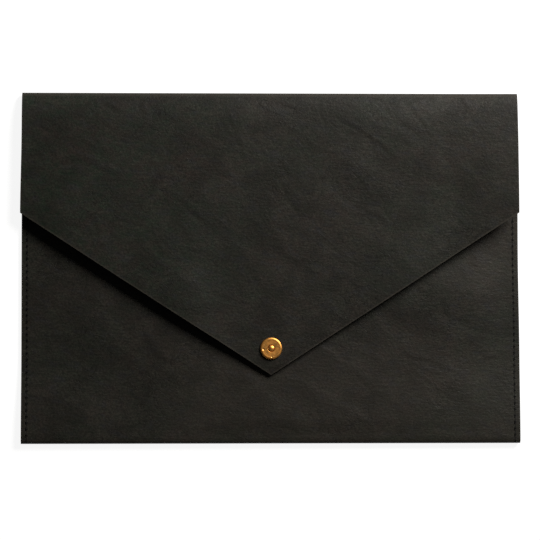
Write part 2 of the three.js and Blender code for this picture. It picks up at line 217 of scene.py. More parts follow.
class Shader:
    """Builds node trees with short calls."""

    def __init__(self, tree: bpy.types.NodeTree) -> None:
        """Keeps the tree to build in."""
        self.tree = tree

    @classmethod
    def on(cls, owner: bpy.types.ID) -> "Shader":
        """Starts the node tree of a material or world anew.

        Args:
            owner: Material or world.

        Returns:
            Builder on its empty tree.
        """
        owner.use_nodes = True
        owner.node_tree.nodes.clear()
        return cls(owner.node_tree)

    def node(self, kind: str, settings: dict | None = None, **inputs: object) -> bpy.types.Node:
        """Adds a node and fills its inputs.

        Args:
            kind: Type of the node.
            settings: Values of the node's own properties.
            inputs: Input sockets by name, with _ for a space, each a value or a socket to link.

        Returns:
            The new node.
        """
        made = self.tree.nodes.new(kind)
        for key, value in (settings or {}).items():
            setattr(made, key, value)
        for key, value in inputs.items():
            self.feed(made.inputs[key.replace("_", " ")], value)
        return made

    def feed(self, socket: Socket, value: object) -> None:
        """Links a socket into an input, or sets its value.

        Args:
            socket: Input socket.
            value: Output socket, number or colour.
        """
        if isinstance(value, Socket):
            self.tree.links.new(value, socket)
        elif isinstance(value, tuple) and len(value) == 3 and socket.type == "RGBA":
            socket.default_value = (*value, 1.0)
        else:
            socket.default_value = value

    def join(self, kind: str, *values: object, **settings: object) -> Socket:
        """Adds a node and fills its inputs in order.

        Args:
            kind: Type of the node.
            values: Its first inputs.
            settings: Values of the node's own properties.

        Returns:
            Its first output.
        """
        made = self.node(kind, settings)
        for socket, value in zip(made.inputs, values):
            self.feed(socket, value)
        return made.outputs[0]

    def math(self, operation: str, *values: object) -> Socket:
        """Runs an operation of the Math node."""
        return self.join("ShaderNodeMath", *values, operation=operation)

    def times(self, first: object, second: object) -> Socket:
        """Multiplies two values."""
        return self.math("MULTIPLY", first, second)

    def gather(self, operation: str, values: list[object]) -> Socket:
        """Runs an operation over any number of values, from the first one on."""
        return reduce(lambda first, second: self.math(operation, first, second), values)

    def ramp(self, value: object, low: float, high: float, start: float = 0.0, end: float = 1.0) -> Socket:
        """Maps low to start and high to end, smoothly in between."""
        return self.join("ShaderNodeMapRange", value, low, high, start, end, interpolation_type="SMOOTHSTEP")

    def mix(self, share: object, first: object, second: object) -> Socket:
        """Mixes two colours.

        Args:
            share: Share of the second colour.
            first: First colour.
            second: Second colour.

        Returns:
            The mixed colour.
        """
        made = self.node("ShaderNodeMix", {"data_type": "RGBA"})
        for place, value in ((0, share), (6, first), (7, second)):
            self.feed(made.inputs[place], value)
        return made.outputs[2]

    def attribute(self, name: str) -> Socket:
        """Reads a number that the mesh keeps under this name."""
        return self.node("ShaderNodeAttribute", {"attribute_name": name}).outputs["Fac"]

    def object_place(self) -> Socket:
        """Place on the object."""
        return self.node("ShaderNodeTexCoord").outputs["Object"]

    def sheet_place(self) -> Socket:
        """Place on the flat sheet, before it is folded."""
        return self.node("ShaderNodeUVMap", {"uv_map": SHEET_MAP}).outputs[0]

    def axes(self, place: Socket) -> bpy.types.NodeOutputs:
        """X, Y and Z of a place."""
        return self.node("ShaderNodeSeparateXYZ", Vector=place).outputs

    def scaled(self, place: Socket, scale: Triple, turn: float = 0.0) -> Socket:
        """Turns a place about Z, in degrees, and scales it to repeats per metre."""
        settled = self.node("ShaderNodeMapping", Vector=place, Rotation=(0.0, 0.0, math.radians(turn)))
        return self.join("ShaderNodeVectorMath", settled.outputs[0], scale, operation="MULTIPLY")

    def noise(self, where: Socket, detail: float, rough: float, bend: float = 0.0) -> Socket:
        """Noise from 0 to 1 at scale 1."""
        made = self.node("ShaderNodeTexNoise", Vector=where, Scale=1.0, Detail=detail, Roughness=rough, Distortion=bend)
        return made.outputs["Fac"]

    def sheet_noise(self, scale: Pair, turn: float, detail: float, rough: float, bend: float = 0.0) -> Socket:
        """Noise on the flat sheet, with its repeats per metre across and along."""
        return self.noise(self.scaled(self.sheet_place(), (*scale, 1.0), turn), detail, rough, bend)

    def bump(
        self, height: Socket, strength: float, distance: float, under: Socket | None = None, sunk: bool = False
    ) -> Socket:
        """Normal of a relief.

        Args:
            height: Height from 0 to 1.
            strength: Strength of the relief.
            distance: Its full height in metres.
            under: Normal that it lies on, where it isn't the mesh's own.
            sunk: Whether it goes inwards.

        Returns:
            The normal.
        """
        made = self.node("ShaderNodeBump", {"invert": sunk}, Strength=strength, Distance=distance, Height=height)
        if under:
            self.feed(made.inputs["Normal"], under)
        return made.outputs[0]


class Effect:
    """Shader node group shared by several materials."""

    def __init__(self, name: str, **inputs: float) -> None:
        """Makes a group without outputs.

        Args:
            name: Name of the group.
            inputs: Default of each input.
        """
        self.group = bpy.data.node_groups.new(name, "ShaderNodeTree")
        for key, value in inputs.items():
            socket = self.group.interface.new_socket(key, in_out="INPUT", socket_type="NodeSocketFloat")
            socket.default_value = value
        self.shader = Shader(self.group)
        self.given = self.shader.node("NodeGroupInput").outputs

    def giving(self, **outputs: Socket) -> "Effect":
        """Adds the outputs.

        Args:
            outputs: Value of each output.

        Returns:
            The effect.
        """
        for key in outputs:
            self.group.interface.new_socket(key, in_out="OUTPUT", socket_type="NodeSocketFloat")
        self.shader.node("NodeGroupOutput", **outputs)
        return self

    def placed(self, shader: Shader, **inputs: object) -> bpy.types.NodeOutputs:
        """Places the group in a material and gives its outputs."""
        return shader.node("ShaderNodeGroup", {"node_tree": self.group}, **inputs).outputs


class Effects:
    """The shared effects: paper relief, mottling and metal scuffs."""

    def __init__(self) -> None:
        """Builds every group once."""
        self.relief = self._relief()
        self.mottle = self._mottle()
        self.scuffs = self._scuffs()

    @staticmethod
    def _relief() -> Effect:
        """Relief of pulp paper: streaks along X, grain, slanting wrinkles, soft cockles and fine cracks.

        Returns:
            Effect with the height in mm, and masks of streaks, cockles, grain and cracks.
        """
        crack_depth = 0.05
        heights = {"Streaks": 0.04, "Grain": 0.05, "Wrinkles": 0.05, "Ripples": 0.14, "Cockles": 0.3}
        effect = Effect("paper_relief", **heights)
        shader = effect.shader
        long = shader.sheet_noise((130.0, 560.0), 1.0, 3.0, 0.6, 0.5)
        short = shader.sheet_noise((330.0, 760.0), -6.0, 2.0, 0.6, 0.6)
        streak = shader.math("MULTIPLY_ADD", long, 0.6, shader.times(short, 0.4))
        grain = shader.sheet_noise((700.0, 700.0), 30.0, 3.0, 0.65, 0.5)
        slanted = shader.sheet_noise((110.0, 620.0), -52.0, 2.0, 0.55, 0.5)
        patches = shader.ramp(shader.sheet_noise((34.0, 46.0), -30.0, 2.0, 0.5), 0.47, 0.66)
        ripple = shader.sheet_noise((55.0, 120.0), -32.0, 3.0, 0.5, 0.8)
        cockle = shader.sheet_noise((44.0, 62.0), -20.0, 4.0, 0.55, 0.8)
        ridge = shader.sheet_noise((62.0, 88.0), 24.0, 4.0, 0.55, 1.4)
        ridge = shader.math("ABSOLUTE", shader.math("SUBTRACT", ridge, 0.5))
        # Patches of worn paper where the cracks show
        wear_and_fold_light = shader.ramp(shader.sheet_noise((19.0, 27.0), 50.0, 2.0, 0.5), 0.46, 0.62)
        crack = shader.times(shader.ramp(ridge, 0.0, 0.030, 1.0, 0.0), wear_and_fold_light)
        parts = zip((streak, grain, shader.times(slanted, patches), ripple, cockle), heights)
        raised = [shader.times(part, effect.given[name]) for part, name in parts]
        return effect.giving(
            Height=shader.gather("ADD", [*raised, shader.times(crack, -crack_depth)]),
            Streak=shader.ramp(streak, 0.36, 0.64),
            Cockle=shader.ramp(cockle, 0.34, 0.66),
            Grain=shader.ramp(grain, 0.36, 0.64),
            Crack=crack,
        )

    @staticmethod
    def _mottle() -> Effect:
        """Clouds of tint over the sheet.

        Returns:
            Effect with a broad, a small and one more small cloud mask.
        """
        effect = Effect("cloudy_mottle", Lean=0.0)
        shader = effect.shader
        broad = shader.sheet_noise((11.0, 15.0), 20.0, 3.0, 0.6, 0.3)
        small = shader.sheet_noise((120.0, 150.0), 8.0, 3.0, 0.7, 0.4)
        other = shader.sheet_noise((90.0, 160.0), -12.0, 3.0, 0.65, 0.3)
        return effect.giving(
            Broad=shader.ramp(shader.math("ADD", broad, effect.given["Lean"]), 0.38, 0.62),
            Small=shader.ramp(small, 0.38, 0.62),
            Other=shader.ramp(other, 0.50, 0.66),
        )

    @staticmethod
    def _scuffs() -> Effect:
        """Hair scratches and small dents of handled metal.

        Returns:
            Effect with scratches and dents.
        """
        effect = Effect("metal_scuffs", Scale=1.0)
        shader = effect.shader
        hair = shader.node("ShaderNodeVectorMath", {"operation": "SCALE"}, Scale=effect.given["Scale"])
        shader.feed(hair.inputs[0], shader.scaled(shader.object_place(), (260.0, 2600.0, 900.0), 37.0))
        line = shader.noise(hair.outputs[0], 2.0, 0.5)
        dents = shader.noise(shader.scaled(shader.object_place(), (420.0, 420.0, 420.0)), 3.0, 0.6)
        return effect.giving(Scratches=shader.ramp(line, 0.62, 0.72), Dents=shader.ramp(dents, 0.35, 0.75))


@dataclass(frozen=True)
class Finish:
    """Base of every finish: makes its material once and hands it out."""

    name: str

    def material(self) -> bpy.types.Material:
        """Material of this finish.

        Returns:
            The material, made on the first call.
        """
        kept = bpy.data.materials.get(self.name)
        if kept is None:
            kept = bpy.data.materials.new(self.name)
            shader = Shader.on(kept)
            shader.node("ShaderNodeOutputMaterial", Surface=self.surface(shader))
        return kept

    def surface(self, shader: Shader) -> Socket:
        """Builds the surface on a material's tree and gives its output."""
        raise NotImplementedError


@dataclass(frozen=True)
class PaperFinish(Finish):
    """Face of the washable paper: black, satin, streaked, wrinkled and mottled, with painted light on its raw edges,
    folds and two patches of the front, and painted shade in its needle holes, stitch grooves, cracks and along its side
    edges. Sizes are in metres.
    """

    effects: Effects
    colour: Colour = (0.0134, 0.0126, 0.0101)
    greenish: Colour = (0.0102, 0.0132, 0.0086)
    brownish: Colour = (0.0170, 0.0125, 0.0102)
    bluish: Colour = (0.0120, 0.0121, 0.0146)
    deep_green: Colour = (0.0076, 0.0146, 0.0082)
    deep_brown: Colour = (0.0196, 0.0116, 0.0102)
    # Near black of painted shade, in the needle holes, the stitch groove and along the side edges
    painted_shade_colour: Colour = (0.0012, 0.0011, 0.0010)
    # Pale tone of painted light, for the raw edges, the folds and two patches of the front
    painted_light_colour: Colour = (0.034, 0.029, 0.023)
    lighter: float = 2.2
    darker: float = 0.30
    blue_share: float = 0.6
    streak_share: float = 0.50
    cockle_share: float = 0.42
    grain_share: float = 0.56
    crack_shade_share: float = 0.55
    lean_across: Pair = (0.02, 0.16)
    lean: Pair = (-0.10, 0.02)
    deep_across: Pair = (0.04, 0.19)
    # Painted highlight along the raw edges: reach in mm and share
    edge_highlight_reach: Pair = (0.44, 1.1)
    edge_highlight_share: float = 0.35
    # Painted light on the folds' shaded outside: ramp and share
    fold_light_ramp: Pair = (-0.6, 0.05)
    fold_light_share: float = 0.55
    # Painted light: share and places (across, along) of two lightened patches on the front
    painted_light_patch_share: float = 0.13
    painted_light_patches: tuple[tuple[Pair, Pair], ...] = (((0.47, 0.53), (0.090, 0.046)), ((0.64, 0.72), (0.095, 0.120)))
    # Painted shade along the side edges: width in metres and share
    edge_shade_width: float = 0.0005
    edge_shade_share: float = 0.75
    roughness: float = 0.52
    rough_spread: float = 0.05
    sheen_level: float = 0.11
    half_width: float = 0.170
    front_margin: float = 0.03
    front_offset: float = 0.400
    hole_line: float = 0.1663
    hole_start: float = 0.0023
    front_start: float = 0.00408
    hole_end: float = 0.2200
    hole_pitch: float = 0.0043
    hole_radius: float = 0.00095
    hole_core: float = 0.55
    hole_depth: float = 0.0003
    groove_width: float = 0.0005
    groove_core: float = 0.5
    groove_share: float = 0.5

    def surface(self, shader: Shader) -> Socket:
        """Builds the paper.

        Args:
            shader: Builder on the material's tree.

        Returns:
            Output of the surface shader.
        """
        relief = self.effects.relief.placed(
            shader, Streaks=0.26, Grain=0.16, Wrinkles=0.09, Ripples=0.08, Cockles=0.42
        )
        across = shader.axes(shader.sheet_place())["X"]
        shaded = self.body(shader, across)
        lighter = tuple(self.lighter * part for part in self.colour)
        darker = tuple(self.darker * part for part in self.colour)
        # Streaks lighter, cockles and grain darker as the paper's own tone; the cracks darker as painted shade in their
        # lines
        for mask, share, tone in (
            ("Streak", self.streak_share, lighter),
            ("Cockle", self.cockle_share, darker),
            ("Grain", self.grain_share, darker),
            ("Crack", self.crack_shade_share, darker),
        ):
            shaded = shader.mix(shader.times(relief[mask], share), shaded, tone)
        inward = shader.attribute(EDGE_MAP)
        # Painted highlight along the raw edges, and painted light on the folds' shaded outside
        for reach, share in ((self.edge_highlight_reach, self.edge_highlight_share), (self.fold_light_ramp, self.fold_light_share)):
            shaded = shader.mix(shader.ramp(inward, *reach, share, 0.0), shaded, self.painted_light_colour)
        from_middle, along, front = self.place(shader)
        # Painted light: two patches of the front are lightened to stand in for light falling on its shape
        for sideways, lengthways in self.painted_light_patches:
            patch = shader.times(shader.ramp(across, *sideways), shader.ramp(along, *lengthways))
            shaded = shader.mix(shader.times(patch, self.painted_light_patch_share), shaded, self.painted_light_colour)
        # Painted shade: a thin near-black line along both side edges stands in for the shaded cut edge
        side = shader.math("SUBTRACT", self.half_width, from_middle)
        shaded = shader.mix(shader.ramp(side, 0.0, self.edge_shade_width, self.edge_shade_share, 0.0), shaded, self.painted_shade_colour)
        holes = self.holes(shader, from_middle, along, front)
        rough = (self.roughness + self.rough_spread, self.roughness - self.rough_spread)
        raised = shader.bump(relief["Height"], 1.0, MM)
        # Painted shade: the needle holes and the stitch groove are mixed to near black
        return shader.node(
            "ShaderNodeBsdfPrincipled",
            Base_Color=shader.mix(holes, shaded, self.painted_shade_colour),
            Roughness=shader.ramp(relief["Streak"], 0.0, 1.0, *rough),
            Specular_IOR_Level=self.sheen_level,
            Normal=shader.bump(holes, 0.5, self.hole_depth, under=raised, sunk=True),
        ).outputs[0]

    def body(self, shader: Shader, across: Socket) -> Socket:
        """Tint of the pulp, cloudy and stronger on the left of the flap.

        Args:
            shader: Builder on the material's tree.
            across: Place across the flat sheet.

        Returns:
            The colour.
        """
        clouds = self.effects.mottle.placed(shader, Lean=shader.ramp(across, *self.lean_across, *self.lean))
        leaning = shader.math("MULTIPLY_ADD", clouds["Small"], 0.5, shader.times(clouds["Broad"], 0.5))
        deep = shader.ramp(across, *self.deep_across, 1.0, 0.0)
        green = shader.mix(deep, self.greenish, self.deep_green)
        tint = shader.mix(leaning, green, shader.mix(deep, self.brownish, self.deep_brown))
        return shader.mix(shader.times(clouds["Other"], self.blue_share), tint, self.bluish)

    def place(self, shader: Shader) -> tuple[Socket, Socket, Socket]:
        """Where a point lies on the flat sheet.

        Args:
            shader: Builder on the material's tree.

        Returns:
            Distance from the middle line, length along, and 1 on the front sheet.
        """
        axes = shader.axes(shader.sheet_place())
        front = shader.math("GREATER_THAN", axes["X"], 2.0 * self.half_width + self.front_margin)
        middle = shader.math("MULTIPLY_ADD", front, self.front_offset, self.half_width)
        from_middle = shader.math("ABSOLUTE", shader.math("SUBTRACT", axes["X"], middle))
        return from_middle, shader.math("ABSOLUTE", axes["Y"]), front

    def holes(self, shader: Shader, from_middle: Socket, length: Socket, front: Socket) -> Socket:
        """Mask of the needle holes along both seams and of the groove that joins them, on the front and the back.

        Args:
            shader: Builder on the material's tree.
            from_middle: Distance from the middle line.
            length: Length along the sheet.
            front: 1 on the front sheet.

        Returns:
            Mask, 1 in a hole.
        """
        across = shader.math("SUBTRACT", from_middle, self.hole_line)
        start = shader.math("MULTIPLY_ADD", front, self.front_start, self.hole_start)
        along = shader.math("SUBTRACT", length, start)
        turn = shader.math("DIVIDE", along, self.hole_pitch)
        offset = shader.times(shader.math("SUBTRACT", turn, shader.math("ROUND", turn)), self.hole_pitch)
        square = shader.math("ADD", shader.times(across, across), shader.times(offset, offset))
        core = self.hole_radius * self.hole_core
        hole = shader.ramp(shader.math("SQRT", square), core, self.hole_radius, 1.0, 0.0)
        inner = self.groove_width * self.groove_core
        groove = shader.ramp(shader.math("ABSOLUTE", across), inner, self.groove_width, self.groove_share, 0.0)
        return shader.times(shader.math("MAXIMUM", hole, groove), shader.math("LESS_THAN", along, self.hole_end))


@dataclass(frozen=True)
class CutEdgeFinish(Finish):
    """Raw cut edge of the sheet, a little browner than its faces."""

    effects: Effects
    colour: Colour = (0.030, 0.023, 0.017)
    pale: Colour = (0.060, 0.046, 0.034)

    def surface(self, shader: Shader) -> Socket:
        """Builds the cut edge.

        Args:
            shader: Builder on the material's tree.

        Returns:
            Output of the surface shader.
        """
        plies = shader.noise(shader.scaled(shader.object_place(), (300.0, 300.0, 5200.0)), 3.0, 0.6)
        clouds = self.effects.mottle.placed(shader, Lean=0.05)
        share = shader.times(shader.ramp(plies, 0.4, 0.7), clouds["Small"])
        return shader.node(
            "ShaderNodeBsdfPrincipled",
            Base_Color=shader.mix(share, self.colour, self.pale),
            Roughness=shader.ramp(plies, 0.3, 0.7, 0.72, 0.86),
            Specular_IOR_Level=0.2,
            Normal=shader.bump(plies, 0.6, 0.0001),
        ).outputs[0]


@dataclass(frozen=True)
class ThreadFinish(Finish):
    """Black bonded polyester sewing thread."""

    colour: Colour = (0.0020, 0.0019, 0.0019)
    pale: Colour = (0.0050, 0.0048, 0.0048)

    def surface(self, shader: Shader) -> Socket:
        """Builds the thread.

        Args:
            shader: Builder on the material's tree.

        Returns:
            Output of the surface shader.
        """
        filaments = shader.noise(shader.scaled(shader.object_place(), (9000.0, 1800.0, 9000.0), 24.0), 2.0, 0.5)
        return shader.node(
            "ShaderNodeBsdfPrincipled",
            Base_Color=shader.mix(shader.ramp(filaments, 0.4, 0.7), self.colour, self.pale),
            Roughness=shader.ramp(filaments, 0.3, 0.7, 0.6, 0.72),
            Specular_IOR_Level=0.12,
            Normal=shader.bump(filaments, 0.5, 0.00004),
        ).outputs[0]


@dataclass(frozen=True)
class MetalFinish(Finish):
    """Handled metal: tarnish in clouds, hair scratches, small dents, and a few nicks that are dented and carry a
    painted glint.
    """

    effects: Effects
    colour: Colour = (0.80, 0.385, 0.098)
    tarnish: Colour = (0.68, 0.30, 0.068)
    bright: Colour = (0.90, 0.58, 0.24)
    roughness: float = 0.40
    scratch_share: float = 0.5
    scratch_rough: float = 0.08
    nick_glint_share: float = 0.5
    nicks: tuple[Triple, ...] = ((-0.0053, -0.0556, 0.0011), (0.0005, -0.0608, 0.0008))

    def surface(self, shader: Shader) -> Socket:
        """Builds the metal.

        Args:
            shader: Builder on the material's tree.

        Returns:
            Output of the surface shader.
        """
        scuffs = self.effects.scuffs.placed(shader)
        patina = shader.noise(shader.scaled(shader.object_place(), (360.0, 360.0, 500.0)), 4.0, 0.6, 0.4)
        aged = shader.mix(shader.ramp(patina, 0.38, 0.66), self.tarnish, self.colour)
        scratched = shader.mix(shader.times(scuffs["Scratches"], self.scratch_share), aged, self.bright)
        rough = shader.ramp(patina, 0.35, 0.65, self.roughness + 0.10, self.roughness - 0.04)
        nicked = self.nicked(shader)
        struck = shader.bump(nicked, 0.8, 0.0003, sunk=True)
        dented = shader.bump(scuffs["Dents"], 0.14, 0.00010, under=struck)
        # Painted glint: the nicks are lightened as if catching the light, on top of their dent
        return shader.node(
            "ShaderNodeBsdfPrincipled",
            Base_Color=shader.mix(shader.times(nicked, self.nick_glint_share), scratched, self.bright),
            Metallic=1.0,
            Roughness=shader.math("ADD", rough, shader.times(scuffs["Scratches"], self.scratch_rough)),
            Normal=shader.bump(scuffs["Scratches"], 0.4, 0.00003, under=dented, sunk=True),
        ).outputs[0]

    def nicked(self, shader: Shader) -> Socket:
        """Mask of the small nicks in the disc's face, each at its place and with its radius.

        Args:
            shader: Builder on the material's tree.

        Returns:
            Mask, 1 in the middle of a nick.
        """
        axes = shader.axes(shader.object_place())
        spots = []
        for x, y, radius in self.nicks:
            across, along = shader.math("SUBTRACT", axes["X"], x), shader.math("SUBTRACT", axes["Y"], y)
            square = shader.math("ADD", shader.times(across, across), shader.times(along, along))
            spots.append(shader.ramp(shader.math("SQRT", square), 0.0, radius, 1.0, 0.0))
        return shader.gather("MAXIMUM", spots)


@dataclass
class Palette:
    """All finishes of the folder."""

    effects: Effects = field(default_factory=Effects)
    paper: PaperFinish = field(init=False)
    cut_edge: CutEdgeFinish = field(init=False)
    thread: ThreadFinish = field(init=False)
    brass: MetalFinish = field(init=False)
    nickel: MetalFinish = field(init=False)

    def __post_init__(self) -> None:
        """Makes the finishes on the shared effects."""
        self.paper = PaperFinish("black_washable_paper", self.effects)
        self.cut_edge = CutEdgeFinish("raw_paper_edge", self.effects)
        self.thread = ThreadFinish("black_sewing_thread")
        self.brass = MetalFinish("aged_brass", self.effects)
        self.nickel = MetalFinish(
            "nickelled_spring_wire",
            self.effects,
            colour=(0.46, 0.44, 0.40),
            tarnish=(0.30, 0.28, 0.24),
            bright=(0.68, 0.66, 0.62),
            roughness=0.30,
        )


def dress(piece: Piece, *finishes: Finish) -> None:
    """Gives a piece its finishes, in slot order.

    Args:
        piece: Object to dress.
        finishes: Finishes for slots 0, 1 and so on.
    """
    piece.data.materials.clear()
    for finish in finishes:
        piece.data.materials.append(finish.material())


@dataclass(frozen=True)
class Crease:
    """Sharp little step pressed into the sheet along a line, in mm on the plan. It fades towards its ends."""

    points: tuple[Pair, ...]
    height: float
    width: float
    faint: float = 0.25
    full_from: float = 0.25
    full_to: float = 0.7
    reach: float = 4.0

    def lift(self, x: Array, y: Array) -> Array:
        """Height that the crease adds.

        Args:
            x, y: Places across and along in mm.

        Returns:
            Heights in mm.
        """
        nearest, signed, walked = np.full(x.shape, np.inf), np.zeros(x.shape), np.zeros(x.shape)
        passed = 0.0
        for (x0, y0), (x1, y1) in zip(self.points, self.points[1:]):
            run = math.hypot(x1 - x0, y1 - y0)
            ux, uy = (x1 - x0) / run, (y1 - y0) / run
            along = np.clip((x - x0) * ux + (y - y0) * uy, 0.0, run)
            away_x, away_y = x - x0 - along * ux, y - y0 - along * uy
            reach = np.hypot(away_x, away_y)
            side = away_y * ux - away_x * uy
            closer = reach < nearest
            nearest = np.where(closer, reach, nearest)
            signed = np.where(closer, np.copysign(reach, side), signed)
            walked = np.where(closer, passed + along, walked)
            passed += run
        ends = smooth(walked, 0.0, self.full_from * passed) * (1.0 - smooth(walked, self.full_to * passed, passed))
        share = signed / self.width
        height = self.height * (self.faint + (1.0 - self.faint) * ends)
        return height * share * np.exp(-(share**2)) * (nearest < self.reach * self.width)


@dataclass(frozen=True)
class Ripple:
    """Long low wave in the sheet, in mm and degrees. Its line wanders and its height swells and fades."""

    length: float
    turn: float
    height: float
    phase: float
    wander: float = 0.22
    wander_length: float = 0.9
    fading: float = 0.4
    fading_length: float = 1.7

    def lift(self, x: Array, y: Array) -> Array:
        """Height that the ripple adds.

        Args:
            x, y: Places across and along in mm.

        Returns:
            Heights in mm.
        """
        angle = math.radians(self.turn)
        along = x * math.cos(angle) + y * math.sin(angle)
        aside = -x * math.sin(angle) + y * math.cos(angle)
        wander = self.wander * self.length * np.sin(aside / (self.wander_length * self.length) + self.phase)
        swing = np.sin(aside / (self.fading_length * self.length) + 2.0 * self.phase)
        wave = np.sin(2.0 * math.pi * (along + wander) / self.length + self.phase)
        return self.height * (1.0 - self.fading + self.fading * swing) * wave


FLAP_WAVES = (
    Ripple(78.0, -38.0, 0.42, 0.4),
    Ripple(46.0, -22.0, 0.20, 2.1),
    Ripple(33.0, 64.0, 0.10, 4.0),
    Ripple(21.0, -47.0, 0.05, 1.2),
)
FRONT_WAVES = (
    Ripple(70.0, 74.0, 0.32, 0.9),
    Ripple(52.0, -35.0, 0.26, 2.6),
    Ripple(29.0, 52.0, 0.09, 5.1),
    Ripple(18.0, -40.0, 0.04, 3.0),
)
FLAP_CREASES = (
    Crease(((-116, 113), (-109, 110), (-102, 106)), 0.26, 2.2),
    Crease(((-89, 117), (-87, 104)), 0.16, 1.8),
    Crease(((-34, 119), (-30, 107), (-26, 97), (-22, 88), (-18, 74), (-15, 59)), 0.16, 1.3),
    Crease(((-36, 103), (-30, 95), (-25, 88)), 0.10, 1.2),
    Crease(((-23, 106), (-22, 94)), 0.15, 1.3),
    Crease(((45, 104), (51, 100), (60, 95), (70, 88), (78, 82), (84, 76), (88, 69)), 0.24, 1.6),
    Crease(((91, 119), (97, 109), (104, 100), (112, 88)), 0.16, 1.6),
    Crease(((130, 117), (137, 107)), 0.16, 1.9),
    Crease(((55, 71), (63, 57), (70, 47)), 0.12, 1.5),
    Crease(((64, 44), (69, 30), (73, 20)), 0.12, 1.3),
    Crease(((7, 74), (12, 64)), 0.16, 1.9),
    Crease(((10, 50), (20, 37)), 0.16, 2.1),
    Crease(((-82, 74), (-77, 66)), 0.16, 1.3),
    Crease(((-58, 43), (-45, 30)), 0.22, 2.5),
    Crease(((-131, 88), (-119, 81)), 0.18, 1.7),
    Crease(((0, 117), (8, 112), (19, 109)), 0.16, 1.6),
    Crease(((-123, 37), (-115, 25)), 0.15, 2.1),
    Crease(((-48, -15), (-31, -20), (-14, -25)), 0.12, 1.6),
    Crease(((33, 116), (36, 103), (39, 95)), 0.11, 1.4),
)
FRONT_CREASES = (
    Crease(((-91, -34), (-84, -49), (-77, -61), (-62, -67)), 0.26, 2.4),
    Crease(((-128, -20), (-119, -24)), 0.20, 2.5),
    Crease(((86, -49), (95, -61), (110, -64), (120, -70), (132, -74)), 0.22, 1.9),
    Crease(((116, -30), (137, -39)), 0.15, 2.1),
    Crease(((-107, -59), (-104, -65), (-103, -72)), -0.12, 1.3),
    Crease(((-70, -66), (-67, -76)), -0.12, 1.3),
    Crease(((55, -57), (72, -62)), 0.13, 1.9),
)


